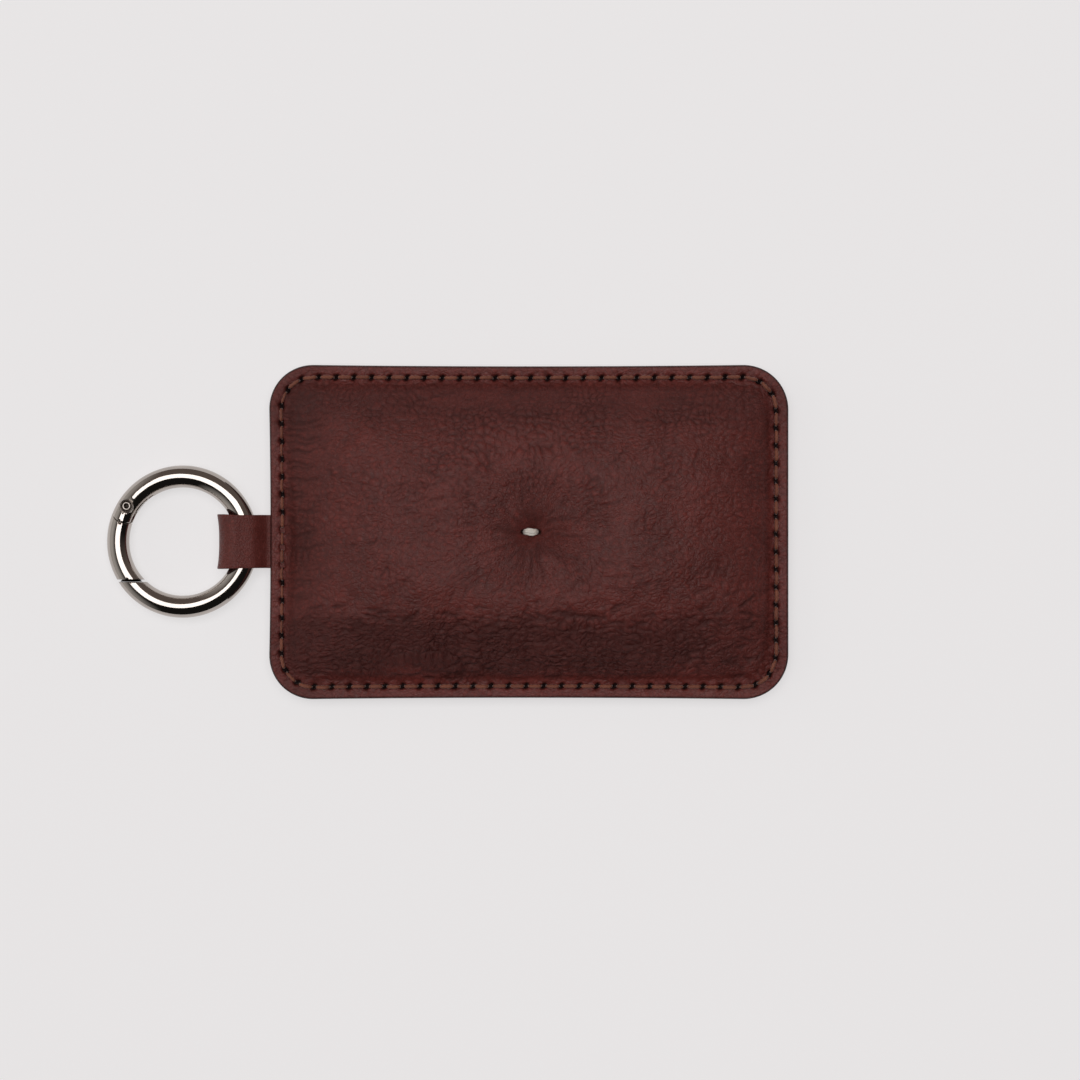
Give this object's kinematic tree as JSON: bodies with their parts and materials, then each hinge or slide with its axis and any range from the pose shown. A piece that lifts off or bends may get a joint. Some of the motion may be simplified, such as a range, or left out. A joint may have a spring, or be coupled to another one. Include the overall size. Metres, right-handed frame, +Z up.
{
  "type": "padded leather card holder with key ring",
  "caption": "Padded leather card holder with a sewn rear card pocket, a tufted front and a spring-gate key ring on a strap loop.",
  "frame": {"origin": "middle of the flat rear face that the card holder rests on", "axes": "+Z up out of the padded front, -X towards the key ring, +Y towards the card pocket's mouth"},
  "size_m": [0.1287, 0.0632, 0.012],
  "materials": {
    "cover_leather": "dark brown grained leather, semi-matt, dark painted edge",
    "rear_leather": "dark brown grained leather, semi-matt",
    "lining_leather": "smooth matt brown lining leather",
    "strap_leather": "dark brown grained leather, semi-matt",
    "wadding_foam": "soft off-white wadding",
    "sewing_thread": "waxed reddish brown thread",
    "tuft_thread": "thick cream thread",
    "ring_metal": "polished gunmetal plating",
    "pin_metal": "polished gunmetal plating",
    "spring_steel": "bright spring steel"
  },
  "bodies": {
    "pouch": {"cover_panel": "cover_leather", "wadding": "wadding_foam", "inner_lining": "lining_leather", "rear_panel": "rear_leather", "strap_tails": "strap_leather", "front_stitching": "sewing_thread", "rear_stitching": "sewing_thread", "tuft_stitch": "tuft_thread", "tuft_backing": "lining_leather"},
    "loop": {"ring_loop": "strap_leather"},
    "ring": {"ring_body": "ring_metal", "gate_pin": "pin_metal", "gate_spring": "spring_steel"},
    "gate": {"ring_gate": "ring_metal"}
  },
  "joints": [
    {"name": "loop_flex", "type": "hinge", "parent": "pouch", "child": "loop", "pos_m": [-0.0498, -0.0018, 0.0031], "axis": [0, 1, 0], "range_deg": [-50, 45], "stiffness_Nm_per_rad": 0.02},
    {"name": "ring_turn", "type": "hinge", "parent": "loop", "child": "ring", "pos_m": [-0.06528, -0.0018, 0.00276], "axis": [-0.052, 0, 0.9986], "range_deg": [-110, 90]},
    {"name": "gate_swing", "type": "hinge", "parent": "ring", "child": "gate", "pos_m": [-0.07567, 0.0049, 0.00382], "axis": [-0.052, 0, 0.9986], "range_deg": [0, 24], "stiffness_Nm_per_rad": 0.02, "springref_deg": -20.05, "deforming": ["gate_spring"]}
  ]
}
